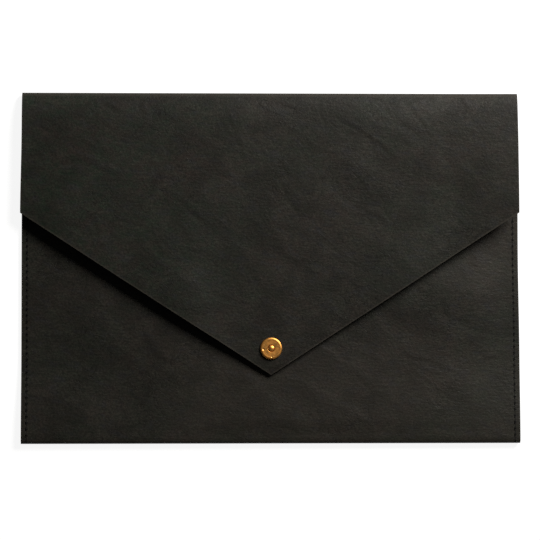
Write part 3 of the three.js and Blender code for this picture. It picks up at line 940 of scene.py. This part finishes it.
@dataclass
class FoldedSheet:
    """The one sheet of washable paper: back, top fold and flap, and front with the bottom fold. Sizes are in mm."""

    palette: Palette
    width: float = 340.0
    height: float = 240.0
    thickness: float = 0.8
    top_gap: float = 3.8
    bottom_gap: float = 4.2
    pocket_gap: float = 3.8
    mouth_setback: float = 16.0
    ply_gap: float = 0.1
    edge_lift: float = 0.6
    edge_lift_run: float = 10.0
    fold_ease: float = 2.2
    seam_width: float = 8.0
    side_from: float = 60.0
    # Blend of the top fold from body to body
    blend_margin: float = 0.1
    blend_top: float = 4.9
    # Front panel
    front_ease: float = 60.0
    crown_run: float = 80.0
    crown_width: float = 20.0
    draw_width: float = 52.0
    draw_share: float = 0.15
    belly_lift: float = 1.0
    belly_line: float = -104.0
    belly_length: float = 18.0
    belly_run: float = 15.0
    belly_across: Pair = (-80.0, -10.0)
    hill_lift: float = 1.9
    hill_line: float = -20.0
    hill_above: float = 36.0
    hill_below: float = 60.0
    hill_from: Pair = (30.0, 120.0)
    hill_to: Pair = (136.0, 172.0)
    side_flare: float = 0.88
    flare_down: Pair = (-15.0, 65.0)
    side_shift: float = 0.3
    front_side_calm: float = 40.0
    front_bottom_calm: Pair = (2.0, 30.0)
    front_stud_calm: Pair = (8.0, 26.0)
    front_crease_from: float = 8.0
    # Flap
    corner_depth: float = 82.3
    point_depth: float = 193.0
    flap_inset: float = 0.65
    left_flare: float = 0.9
    left_flare_down: Pair = (22.0, 86.0)
    leave_angle: float = 24.0
    leave_run: float = 9.5
    seat_height: float = 8.5
    seat_from: float = 166.75
    seat_to: float = 182.25
    point_droop: float = 0.9
    bow_drop: float = 0.65
    bow_across: Pair = (20.0, 80.0)
    bow_rise: float = 0.4
    bow_end: Pair = (95.0, 160.0)
    bow_down: Pair = (20.0, 90.0)
    swell_lift: float = 1.0
    swell_across: Pair = (70.0, 150.0)
    swell_depth: float = 46.0
    swell_length: float = 24.0
    corner_lift: float = 2.4
    corner_across: Pair = (118.0, 178.0)
    corner_down: Pair = (12.0, 84.0)
    end_lift: float = 1.8
    end_across: Pair = (122.0, 178.0)
    curl_lift: float = 2.5
    curl_across: Pair = (30.0, 105.0)
    curl_width: float = 34.0
    wing_lift: float = 1.3
    wing_across: Pair = (8.0, 110.0)
    wing_end: Pair = (130.0, 172.0)
    wing_down: Pair = (20.0, 120.0)
    hump_lift: float = 1.8
    hump_place: float = -52.0
    hump_width: float = 21.0
    hump_depth: float = 45.0
    crease_gain: float = 1.35
    crease_down: Pair = (1.0, 8.0)
    calm_down: Pair = (2.0, 22.0)
    calm_stud: Pair = (9.0, 45.0)
    calm_share: float = 0.25
    stud_line: float = -55.0
    # Painted light on the shaded outside of the folds
    fold_light_shift: float = 0.6
    fold_light_spread: float = 2.6
    # Fineness
    columns: int = 220
    back_rows: int = 28
    ease_length: float = 6.0
    ease_rows: int = 4
    fold_rows: int = 14
    flap_rows: int = 150
    front_rows: int = 156
    back_points: int = 120
    fold_points: int = 20
    flap_points: int = 1200
    sharp_angle: float = 50.0
    front_map_offset: float = 400.0

    def __post_init__(self) -> None:
        """Works out the lines that follow from the sizes."""
        self.top_line = self.height / 2 - self.top_gap / 2 - self.thickness
        self.bottom_line = -self.height / 2 + self.bottom_gap / 2 + self.thickness
        self.mouth = self.height / 2 - self.mouth_setback
        self.sewn = self.width / 2 - self.seam_width
        self.leave = math.radians(self.leave_angle)
        self.leave_rise = self.leave_run * math.tan(self.leave)
        radius = self.top_gap / 2
        self.start_depth = self.height / 2 - self.top_line - radius * math.sin(self.leave)
        self.start_height = self.thickness + radius * (1.0 + math.cos(self.leave))

    def outer(self, x: Array) -> Array:
        """Share that grows from the panel's inside to its right side."""
        return smooth(x, self.side_from, self.width / 2)

    def back_under(self, x: Array, y: Array) -> Array:
        """Underside of the back panel.

        Args:
            x, y: Places across and along in mm.

        Returns:
            Heights in mm.
        """
        across = smooth(np.abs(x), self.sewn - self.edge_lift_run, self.sewn)
        bottom = smooth(y, self.bottom_line, self.bottom_line + self.fold_ease)
        top = 1.0 - smooth(y, self.top_line - self.fold_ease, self.top_line)
        return self.edge_lift * across * bottom * top

    def front_under(self, x: Array, y: Array) -> Array:
        """Underside of the front panel: a flat crown between the sewn sides, with a low belly above the fold.

        Args:
            x, y: Places across and along in mm.

        Returns:
            Heights in mm.
        """
        level = self.thickness + self.bottom_gap
        sewn = self.edge_lift + self.thickness + self.ply_gap
        pinched = level + (sewn - level) * smooth(y, self.bottom_line, self.bottom_line + self.front_ease)
        climbed = 1.0 - np.clip(1.0 - (y - self.bottom_line) / self.crown_run, 0.0, 1.0) ** 2
        belly = self.belly_lift * bell(y, self.belly_line, self.belly_length)
        belly = belly * smooth(y, self.bottom_line, self.bottom_line + self.belly_run)
        crown = level + (self.thickness + self.pocket_gap - level) * climbed
        crown = crown + belly * smooth(x, *self.belly_across)
        domed = smooth(np.abs(x), self.crown_width / 2, self.sewn)
        drawn = smooth(np.abs(x), self.sewn - self.draw_width, self.sewn)
        return crown + (pinched - crown) * (domed + self.draw_share * (drawn - domed))

    def flap_under(self, depth: Array) -> Array:
        """Underside of the flap along its middle.

        Args:
            depth: Distances down from the top edge in mm.

        Returns:
            Heights in mm.
        """
        run = np.maximum(0.0, depth - self.start_depth)
        sprung = self.leave_rise * (1.0 - np.exp(-run / self.leave_run))
        rest = self.seat_height - self.start_height - self.leave_rise
        rising = self.start_height + sprung + rest * run / (self.seat_from - self.start_depth)
        beyond = np.maximum(0.0, depth - self.seat_to) / (self.point_depth - self.seat_to)
        return np.where(depth < self.seat_from, rising, self.seat_height - self.point_droop * beyond**2)

    def swell(self, x: Array, depth: Array) -> Array:
        """How far the flap's sides and slanting edges stand above its middle.

        Args:
            x, depth: Places across, and down from the top edge, in mm.

        Returns:
            Heights in mm.
        """
        crest = bell(depth, self.swell_depth, self.swell_length)
        corner = self.corner_lift * smooth(x, *self.corner_across) * smooth(depth, *self.corner_down)
        curl = (1.0 - smooth(self.from_slope(x, depth), 0.0, self.curl_width)) * smooth(x, *self.curl_across)
        wing = self.wing_lift * (smooth(-x, *self.wing_across) - smooth(-x, *self.wing_end))
        right = self.swell_lift * crest * smooth(x, *self.swell_across) + corner + self.curl_lift * curl
        hump = self.hump_lift * bell(x, self.hump_place, self.hump_width)
        hump = hump * (1.0 - smooth(self.from_slope(x, depth), 0.0, self.hump_depth))
        return right + wing * smooth(depth, *self.wing_down) + hump

    def flared(self, x: Array, y: Array) -> Array:
        """Places across of the pouch's front, whose sides aren't quite parallel."""
        right = self.side_flare * self.outer(x) * smooth(-y, *self.flare_down)
        return x + right - self.side_shift * self.outer(-x)

    def from_slope(self, x: Array, depth: Array) -> Array:
        """Distance in from the flap's slanting edges."""
        drop, half = self.point_depth - self.corner_depth, self.width / 2
        return (self.point_depth - drop * np.abs(x) / half - depth) * half / math.hypot(drop, half)

    def bow(self, x: Array, depth: Array) -> Array:
        """How far the flap's left edge hangs below a straight line."""
        hung = self.bow_drop * smooth(-x, *self.bow_across) - self.bow_rise * smooth(-x, *self.bow_end)
        return hung * smooth(depth, *self.bow_down)

    def stretch(self) -> tuple[Array, Array, Array]:
        """Middle line of the back, the top fold and the flap, by length along the sheet.

        Returns:
            Lengths, and the (y, z) places and their upward directions in mm.
        """
        half = self.thickness / 2
        back = np.linspace(self.bottom_line, self.top_line, self.back_points)
        radius = self.top_gap / 2 + half
        turn = np.linspace(-math.pi / 2, math.pi / 2 - self.leave, self.fold_points)
        fold_y = self.top_line + radius * np.cos(turn)
        fold_z = self.thickness + self.top_gap / 2 + radius * np.sin(turn)
        depth = np.linspace(self.start_depth, self.point_depth, self.flap_points)
        under = self.flap_under(depth)
        rise = np.gradient(under, depth)
        scale = 1.0 / np.hypot(rise, 1.0)
        flap_y = self.height / 2 - depth + half * rise * scale
        flap_z = under + half * scale
        stretches = ((back, np.full_like(back, half)), (fold_y[1:], fold_z[1:]), (flap_y[1:], flap_z[1:]))
        line = np.concatenate([np.stack(places, axis=1) for places in stretches])
        steps = np.hypot(*np.diff(line, axis=0).T)
        length = np.concatenate([[0.0], np.cumsum(steps)])
        tangent = np.gradient(line, length, axis=0)
        tangent /= np.hypot(tangent[:, 0], tangent[:, 1])[:, None]
        return length, line, np.stack([tangent[:, 1], -tangent[:, 0]], axis=1)

    def grid(self, name: str, rows: tuple[int, ...], lengths: tuple[float, ...]) -> Piece:
        """Flat sheet to be folded, with its length along Y from 0.

        Args:
            name: Name of the piece.
            rows: Number of rows in each stretch.
            lengths: Length of the sheet in mm where each stretch ends.

        Returns:
            The flat sheet, in mm.
        """
        Bench.clear()
        total = sum(rows)
        bpy.ops.mesh.primitive_grid_add(x_subdivisions=self.columns, y_subdivisions=total, size=1.0)
        sheet = Bench.named(name)
        with Bench.editing(sheet):
            bpy.ops.transform.resize(value=(self.width, total, 1.0))
            bpy.ops.transform.translate(value=(0.0, total / 2, 0.0))
        places = self.places(sheet)
        places[:, 1] = np.interp(places[:, 1], np.cumsum([0, *rows]), [0.0, *lengths])
        sheet.data.vertices.foreach_set("co", places.ravel())
        return sheet

    def map_flat(self, sheet: Piece, offset: float, way: float) -> Array:
        """Keeps the flat sheet's places as its UV map, in metres, and gives them in mm.

        Args:
            sheet: Flat sheet.
            offset: Shift across in mm, so that two sheets don't share a place.
            way: 1 or -1, the sign that the length gets, so that patterns slant alike on the flap and the front.

        Returns:
            The flat places, one row each.
        """
        for layer in list(sheet.data.uv_layers):
            sheet.data.uv_layers.remove(layer)
        layer = sheet.data.uv_layers.new(name=SHEET_MAP)
        corners = np.empty(len(sheet.data.loops), dtype=np.int64)
        sheet.data.loops.foreach_get("vertex_index", corners)
        places = self.places(sheet)
        flat = places[corners, :2]
        flat[:, 0] += self.width / 2 + offset
        flat[:, 1] *= way
        layer.data.foreach_set("uv", (flat * MM).ravel())
        return places

    @staticmethod
    def places(piece: Piece) -> Array:
        """Reads a mesh's corner places.

        Args:
            piece: Mesh object.

        Returns:
            Places, one row each.
        """
        flat = np.empty(len(piece.data.vertices) * 3)
        piece.data.vertices.foreach_get("co", flat)
        return flat.reshape(-1, 3)

    @staticmethod
    def put(piece: Piece, places: Array) -> None:
        """Writes a mesh's corner places, given in mm."""
        piece.data.vertices.foreach_set("co", (places * MM).ravel())
        piece.data.update()

    def wear_and_fold_light(self, along: Array, outermost: float) -> Array:
        """Scaled distance from the outside of a fold, which the paper's finish reads to paint light onto the fold's
        shaded outside.
        """
        return np.abs(along - outermost) / self.fold_light_spread - self.fold_light_shift

    def finish(self, sheet: Piece, places: list[Array], inward: list[Array]) -> None:
        """Folds the sheet and gives it its thickness, raw edges and finishes.

        Args:
            sheet: Flat sheet.
            places: Places of its corners across, along and up, on the middle of the paper, in mm.
            inward: Distances in from its raw edges and folds, where the finish paints a highlight and fold light.
        """
        marked = sheet.data.attributes.new(EDGE_MAP, "FLOAT", "POINT")
        marked.data.foreach_set("value", reduce(np.minimum, inward).astype(np.float32))
        self.put(sheet, np.stack(places, axis=1))
        dress(sheet, self.palette.paper, self.palette.cut_edge)
        thickness = self.thickness * MM
        Bench.apply_modifier(
            sheet, "SOLIDIFY", thickness=thickness, offset=0.0, use_even_offset=True, material_offset_rim=1
        )
        Bench.smooth_faces(sheet, self.sharp_angle)

    def flap_relief(self, x: Array, y: Array) -> Array:
        """Waves and creases of the flap, calm at the fold and round the stud.

        Args:
            x, y: Places across and along in mm.

        Returns:
            Heights in mm.
        """
        depth = self.height / 2 - y
        away = smooth(np.hypot(x, y - self.stud_line), *self.calm_stud)
        calm = smooth(depth, *self.calm_down) * (self.calm_share + (1.0 - self.calm_share) * away)
        waves = sum(wave.lift(x, y) for wave in FLAP_WAVES)
        creases = self.crease_gain * sum(crease.lift(x, y) for crease in FLAP_CREASES)
        return calm * waves + smooth(depth, *self.crease_down) * creases + self.swell(x, depth)

    def front_relief(self, x: Array, y: Array) -> Array:
        """Waves, creases and low hill of the front panel, calm at the seams, the fold and the stud.

        Args:
            x, y: Places across and along in mm.

        Returns:
            Heights in mm.
        """
        sides = 1.0 - smooth(np.abs(x), self.width / 2 - self.front_side_calm, self.sewn)
        bottom = smooth(y, *(self.bottom_line + run for run in self.front_bottom_calm))
        stud = smooth(np.hypot(x, y - self.stud_line), *self.front_stud_calm)
        waves = sum(wave.lift(x, y) for wave in FRONT_WAVES)
        creases = sum(crease.lift(x, y) for crease in FRONT_CREASES)
        creased = creases * smooth(y, self.bottom_line, self.bottom_line + self.front_crease_from)
        length = np.where(y > self.hill_line, self.hill_above, self.hill_below)
        hill = self.hill_lift * bell(y, self.hill_line, length)
        hill = hill * smooth(x, *self.hill_from) * (1.0 - smooth(x, *self.hill_to))
        return sides * stud * (bottom * waves + creased) + hill

    def back_and_flap(self) -> Piece:
        """Back panel, top fold and flap as one stretch of the sheet.

        Returns:
            The finished piece.
        """
        lengths, line, normal = self.stretch()
        total = float(lengths[-1])
        back_length = self.top_line - self.bottom_line
        radius = (self.top_gap + self.thickness) / 2
        fold_end = back_length + (math.pi - self.leave) * radius
        rows = (self.ease_rows, self.back_rows, self.ease_rows, self.fold_rows, self.flap_rows)
        ends = (self.ease_length, back_length - self.ease_length, back_length, fold_end, total)
        sheet = self.grid("sheet_back_and_flap", rows, ends)
        slope = (self.point_depth - self.corner_depth) / (self.width / 2)
        for side in (slope, -slope):
            with Bench.editing(sheet):
                bpy.ops.mesh.bisect(plane_co=(0.0, total, 0.0), plane_no=(side, 1.0, 0.0), clear_outer=True)
        x, along, _ = self.map_flat(sheet, 0.0, 1.0).T
        y, z = (np.interp(along, lengths, values) for values in line.T)
        up_y, up_z = (np.interp(along, lengths, values) for values in normal.T)
        depth = self.height / 2 - y
        on_flap = along > fold_end
        relief = np.where(on_flap, self.flap_relief(x, y), 0.0)
        inward = [
            self.width / 2 - np.abs(x),
            np.where(on_flap, self.from_slope(x, depth), np.inf),
            self.wear_and_fold_light(along, back_length + math.pi / 2 * radius),
        ]
        back = self.back_under(x, y)
        y = y + relief * up_y - np.where(on_flap, self.bow(x, depth), 0.0)
        spread = self.left_flare * self.outer(-x) * smooth(depth, *self.left_flare_down)
        x = x - np.where(along > back_length, self.flap_inset * self.outer(x), 0.0)
        x = x - np.where(on_flap, spread, 0.0)
        end = self.end_lift * smooth(x, *self.end_across) * smooth(along, back_length, fold_end)
        z = np.where(along < back_length, z + back, z + relief * up_z + end)
        self.finish(sheet, [x, y, z], inward)
        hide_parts("back_panel", "top_fold", "flap_panel")
        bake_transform(sheet)
        return sheet

    def front(self) -> Piece:
        """Front panel with the bottom fold.

        Returns:
            The finished piece.
        """
        half = self.thickness / 2
        radius = self.bottom_gap / 2 + half
        arc = math.pi * radius
        rows = (self.fold_rows // 2, self.ease_rows, self.front_rows)
        ends = (arc, arc + self.ease_length, arc + self.mouth - self.bottom_line)
        sheet = self.grid("sheet_front", rows, ends)
        x, along, _ = self.map_flat(sheet, self.front_map_offset, -1.0).T
        turn = np.clip(along / radius, 0.0, math.pi)
        y = self.bottom_line - radius * np.sin(turn) + np.maximum(0.0, along - arc)
        level = self.thickness + self.bottom_gap / 2 - radius * np.cos(turn)
        z = np.where(along > arc, self.front_under(x, y) + half + self.front_relief(x, y), level)
        inward = [self.width / 2 - np.abs(x), self.mouth - y, self.wear_and_fold_light(along, arc / 2)]
        self.finish(sheet, [self.flared(x, y), y, z], inward)
        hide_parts("front_panel", "bottom_fold")
        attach(sheet, Body.POUCH.value)
        return sheet


@dataclass
class Seams:
    """Lockstitched side seams: needle thread on the front, bobbin thread under the back. Sizes are in mm."""

    palette: Palette
    sheet: FoldedSheet
    line: float = 166.3
    start: float = -116.0
    pitch: float = 4.3
    gap: float = 0.6
    count: int = 50
    plies: int = 2
    ply_radius: float = 0.19
    lay_radius: float = 0.16
    slant: float = 0.70
    dip: float = 0.45
    crest: float = 0.28
    fullness: float = 0.6
    twists: float = 1.5
    rings: int = 14
    fineness: int = 1
    sharp_angle: float = 60.0

    def ply(self, number: int, face: float) -> list[Triple]:
        """Middle of one ply of a stitch, from hole to hole.

        Args:
            number: 0 or 1.
            face: 1 for the front, -1 for the back.

        Returns:
            Its points.
        """
        places = []
        for i in range(self.rings):
            share = i / (self.rings - 1)
            turn = 2.0 * math.pi * (self.twists * share + number / self.plies)
            level = -self.dip + (self.dip + self.crest) * math.sin(math.pi * share) ** self.fullness
            x = self.slant * (share - 0.5) + self.lay_radius * math.cos(turn)
            z = face * (level + self.lay_radius * math.sin(turn))
            places.append((x, self.gap / 2 + (self.pitch - self.gap) * share, z))
        return places

    def thread(self, name: str, side: float, face: float, node: str) -> Piece:
        """Whole line of stitches on one face of one seam.

        Args:
            name: Name of the piece.
            side: 1 for the right seam, -1 for the left.
            face: 1 for the front, -1 for the back.
            node: CAD node that it stands for.

        Returns:
            The finished piece.
        """
        ply_name = f"{name}_ply"
        plies = [Bench.wire(ply_name, self.ply(i, face), self.ply_radius, self.fineness) for i in range(self.plies)]
        Bench.pick(*plies)
        bpy.ops.object.join()
        thread = Bench.named(name)
        step = (0.0, self.pitch, 0.0)
        Bench.apply_modifier(
            thread,
            "ARRAY",
            count=self.count,
            use_relative_offset=False,
            use_constant_offset=True,
            constant_offset_displace=step,
        )
        sheet = self.sheet
        places = sheet.places(thread)
        places += (side * self.line, self.start, 0.0)
        if face > 0:
            places[:, 2] += sheet.front_under(places[:, 0], places[:, 1]) + sheet.thickness
            places[:, 0] = sheet.flared(places[:, 0], places[:, 1])
        else:
            places[:, 2] += sheet.back_under(places[:, 0], places[:, 1])
        sheet.put(thread, places)
        Bench.smooth_faces(thread, self.sharp_angle)
        dress(thread, self.palette.thread)
        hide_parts(node)
        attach(thread, Body.POUCH.value)
        return thread

    def build(self) -> list[Piece]:
        """All four threads.

        Returns:
            The finished pieces.
        """
        made = []
        for seam, side in (("left_seam", -1.0), ("right_seam", 1.0)):
            for spool, face in (("needle", 1.0), ("bobbin", -1.0)):
                made.append(self.thread(f"{seam}_{spool}_stitches", side, face, f"{seam}_{spool}_thread"))
        return made


@dataclass(frozen=True)
class Turned:
    """Brass piece spun from its section, in mm, with points as (radius, height) and the edges rounded."""

    name: str
    node: str
    body: Body
    level: float
    rounding: float
    section: tuple[Pair, ...]


@dataclass
class PressStud:
    """Brass disc with its rivet, the socket with its spring ring, and the stud with its eyelet. Sizes are in mm."""

    palette: Palette
    place: float = -55.0
    disc_level: float = 9.3
    front_level: float = 5.4
    paper: float = 0.8
    dome_foot: float = 1.35
    dome_radii: Pair = (2.25, 1.15)
    dome_end: float = 80.0
    dome_steps: int = 8
    ring_level: float = 1.35
    ring_radius: float = 3.1
    ring_wire: float = 0.25
    ring_start: float = 110.0
    ring_turn: float = 320.0
    ring_steps: int = 72
    ring_fineness: int = 3
    ring_angle: float = 60.0
    sides: int = 96
    rounding_steps: int = 3
    brass_angle: float = 50.0
    merge: float = 0.0005

    def flap_pieces(self) -> list[Turned]:
        """Pressed disc with a shallow dish, domed rivet that goes through it, and the cup that takes the ball.

        Returns:
            Pieces that the flap carries.
        """
        dome = []
        for i in range(self.dome_steps + 1):
            angle = math.radians(self.dome_end * i / self.dome_steps)
            dome.append((self.dome_radii[0] * math.cos(angle), self.dome_foot + self.dome_radii[1] * math.sin(angle)))
        disc = (
            (7.45, 0.0), (7.45, 0.95), (7.35, 1.25), (7.14, 1.5), (6.82, 1.68), (6.45, 1.78), (6.1, 1.8),
            (5.4, 1.74), (3.4, 1.7), (2.62, 1.7), (2.45, 1.62), (2.4, 1.45), (2.4, 0.4), (1.6, 0.4),
            (1.6, 0.0), (2.8, 0.0), (3.0, 1.2), (6.0, 1.3), (6.75, 0.95), (6.85, 0.0),
        )
        rivet = (
            (0.0, -0.4), (1.05, -0.4), (1.05, -1.4), (1.3, -1.5), (1.95, -1.5), (2.05, -1.25), (2.0, -1.2),
            (1.5, -1.2), (1.5, 0.4), (2.25, 0.4), *dome, (0.0, 2.5),
        )
        socket = (
            (3.25, 0.95), (3.4, 0.75), (4.6, 0.65), (4.9, 0.95), (4.9, 2.85), (4.65, 3.1), (1.6, 3.1),
            (1.6, 2.7), (4.3, 2.7), (4.5, 2.5), (4.5, 1.15), (4.4, 1.05), (3.25, 1.05),
        )
        return [
            Turned("brass_face_disc", "face_disc", Body.FLAP, self.disc_level, 0.07, disc),
            Turned("brass_dome_rivet", "face_rivet", Body.FLAP, self.disc_level, 0.03, rivet),
            Turned("brass_socket", "snap_socket", Body.FLAP, self.front_level, 0.04, socket),
        ]

    def pouch_pieces(self) -> list[Turned]:
        """Ball stud on the front panel, and the eyelet that holds it from inside the pocket.

        Returns:
            Pieces that the pouch carries.
        """
        stud = (
            (5.5, 0.0), (5.5, 0.2), (5.25, 0.4), (2.9, 0.45), (2.6, 0.7), (2.6, 1.3), (2.9, 1.55),
            (3.1, 1.9), (2.9, 2.15), (2.6, 2.3), (2.1, 2.3), (2.1, 0.4), (1.6, 0.4), (1.6, 0.0),
        )
        eyelet = (
            (1.05, -0.4), (4.8, -0.4), (5.0, -0.2), (5.0, 0.0), (1.5, 0.0), (1.5, 1.2), (2.0, 1.2),
            (2.05, 1.35), (1.9, 1.5), (1.15, 1.5),
        )
        return [
            Turned("brass_ball_stud", "snap_stud", Body.POUCH, self.front_level, 0.06, stud),
            Turned("brass_eyelet", "stud_eyelet", Body.POUCH, self.front_level - self.paper, 0.04, eyelet),
        ]

    def spun(self, part: Turned) -> Piece:
        """Piece spun round the stud's axis. A section off the axis closes on itself and is filled.

        Args:
            part: Piece to make.

        Returns:
            The finished piece.
        """
        Bench.clear()
        bpy.ops.mesh.primitive_plane_add(size=1.0)
        piece = Bench.named(part.name)
        section = part.section
        with Bench.editing(piece):
            bpy.ops.mesh.merge(type="CENTER")
            bpy.ops.transform.translate(value=(section[0][0], 0.0, section[0][1]))
            for (r0, z0), (r1, z1) in zip(section, section[1:]):
                bpy.ops.mesh.extrude_region_move(TRANSFORM_OT_translate={"value": (r1 - r0, 0.0, z1 - z0)})
            bpy.ops.mesh.select_all(action="SELECT")
            if section[0][0] > 0.0:
                Bench.choose(piece, 1)
                bpy.ops.mesh.edge_face_add()
                bpy.ops.mesh.select_all(action="SELECT")
            Bench.choose(piece, 2)
            bpy.ops.mesh.bevel(
                offset=part.rounding, segments=self.rounding_steps, affect="VERTICES", clamp_overlap=True
            )
            bpy.ops.mesh.select_all(action="SELECT")
            bpy.ops.mesh.spin(steps=self.sides, angle=2.0 * math.pi, center=(0.0, 0.0, 0.0), axis=(0.0, 0.0, 1.0))
            bpy.ops.mesh.select_all(action="SELECT")
            bpy.ops.mesh.remove_doubles(threshold=self.merge)
            bpy.ops.mesh.normals_make_consistent(inside=False)
        self.settle(piece, part.level, self.brass_angle, part.node, self.palette.brass, part.body)
        return piece

    def settle(
        self, piece: Piece, level: float, angle: float, node: str, finish: Finish, body: Body
    ) -> None:
        """Puts a piece at its height on the stud's axis and on its body, and dresses it.

        Args:
            piece: Mesh in mm.
            level: Height of its zero in mm.
            angle: Sharpest smooth edge in degrees.
            node: CAD node that it stands for.
            finish: Its finish.
            body: Body that it rides on.
        """
        piece.location = (0.0, self.place * MM, level * MM)
        piece.scale = (MM, MM, MM)
        Bench.apply_place(piece)
        Bench.smooth_faces(piece, angle)
        dress(piece, finish)
        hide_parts(node)
        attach(piece, body.value)

    def spring(self) -> Piece:
        """Split ring of spring wire in the socket.

        Returns:
            The finished piece.
        """
        places = []
        for i in range(self.ring_steps + 1):
            angle = math.radians(self.ring_start + self.ring_turn * i / self.ring_steps)
            places.append((self.ring_radius * math.cos(angle), self.ring_radius * math.sin(angle), 0.0))
        ring = Bench.wire("spring_ring", places, self.ring_wire, self.ring_fineness)
        level = self.front_level + self.ring_level
        self.settle(ring, level, self.ring_angle, "socket_spring", self.palette.nickel, Body.FLAP)
        return ring

    def build(self) -> list[Piece]:
        """All pieces of the press stud."""
        above, below = self.flap_pieces(), self.pouch_pieces()
        return [*(self.spun(part) for part in above), self.spring(), *(self.spun(part) for part in below)]


@dataclass
class Studio:
    """Pale floor, soft key light and the camera."""

    floor_size: float = 6.0
    floor_drop: float = 0.0002
    floor_colour: Colour = (0.90, 0.90, 0.90)
    floor_share: float = 0.22
    floor_glow: float = 0.90
    key_distance: float = 1.2
    key_elevation: float = 35.0
    key_turn: float = 47.5
    key_size: float = 0.64
    key_power: float = 31.3
    key_colour: Colour = (1.0, 0.98, 0.94)
    white: Colour = (1.0, 1.0, 1.0)
    fill: float = 0.05
    camera_place: Triple = (-0.0482, -0.0475, 1.5)
    camera_turn: Triple = (1.765, -1.821, -0.037)
    camera_view: float = 14.073
    camera_near: float = 0.01

    def floor(self) -> None:
        """Pale floor that shows white and keeps the object's shadow."""
        Bench.clear()
        bpy.ops.mesh.primitive_plane_add(size=self.floor_size, location=(0.0, 0.0, -self.floor_drop))
        floor = Bench.named("floor")
        Bench.apply_place(floor)
        material = bpy.data.materials.new("pale_floor")
        shader = Shader.on(material)
        rays = shader.node("ShaderNodeLightPath").outputs
        seen = shader.gather("MAXIMUM", [rays[f"Is {kind} Ray"] for kind in ("Camera", "Glossy", "Transmission")])
        matt = shader.node("ShaderNodeBsdfDiffuse", Color=self.floor_colour)
        soft = shader.node("ShaderNodeBsdfDiffuse", Color=tuple(self.floor_share * c for c in self.floor_colour))
        glow = shader.node("ShaderNodeEmission", Color=self.white, Strength=self.floor_glow)
        shown = shader.join("ShaderNodeAddShader", soft.outputs[0], glow.outputs[0])
        both = shader.join("ShaderNodeMixShader", seen, matt.outputs[0], shown)
        shader.node("ShaderNodeOutputMaterial", Surface=both)
        floor.data.materials.append(material)

    def light(self) -> None:
        """Soft round key from the upper right and a weak even fill."""
        elevation, turn = math.radians(self.key_elevation), math.radians(self.key_turn)
        way = (math.cos(elevation) * math.cos(turn), math.cos(elevation) * math.sin(turn), math.sin(elevation))
        place = Vector(way) * self.key_distance
        Bench.clear()
        bpy.ops.object.light_add(type="AREA", location=place)
        light = bpy.context.object
        light.name = "soft_key"
        light.data.shape = "DISK"
        light.data.size = self.key_size
        light.data.energy = self.key_power
        light.data.color = self.key_colour
        light.rotation_euler = place.to_track_quat("Z", "Y").to_euler()
        world = bpy.data.worlds.new("studio")
        bpy.context.scene.world = world
        shader = Shader.on(world)
        seen = shader.node("ShaderNodeLightPath").outputs["Is Camera Ray"]
        strength = shader.ramp(seen, 0.0, 1.0, self.fill, 1.0)
        shown = shader.node("ShaderNodeBackground", Color=self.white, Strength=strength)
        shader.node("ShaderNodeOutputWorld", Surface=shown.outputs[0])

    def camera(self) -> None:
        """Camera at the photograph's place."""
        Bench.clear()
        bpy.ops.object.camera_add(location=self.camera_place)
        camera = bpy.context.object
        camera.name = "camera"
        camera.rotation_euler = Euler([math.radians(turn) for turn in self.camera_turn])
        camera.data.sensor_fit = "HORIZONTAL"
        camera.data.angle = math.radians(self.camera_view)
        camera.data.clip_start = self.camera_near
        bpy.context.scene.camera = camera

    def build(self) -> None:
        """Sets the whole stage."""
        self.floor()
        self.light()
        self.camera()
        bpy.context.scene.view_settings.view_transform = "Standard"


def main() -> None:
    """Builds the stage and every piece in order."""
    logging.basicConfig(level=logging.INFO, format="%(name)s: %(message)s")
    Studio().build()
    palette = Palette()
    sheet = FoldedSheet(palette)
    pieces = [sheet.back_and_flap(), sheet.front()]
    pieces += Seams(palette, sheet).build()
    pieces += PressStud(palette).build()
    for piece in pieces:
        LOG.info("%s: %d faces", piece.name, len(piece.data.polygons))
    Bench.clear()


if __name__ == "__main__":
    main()
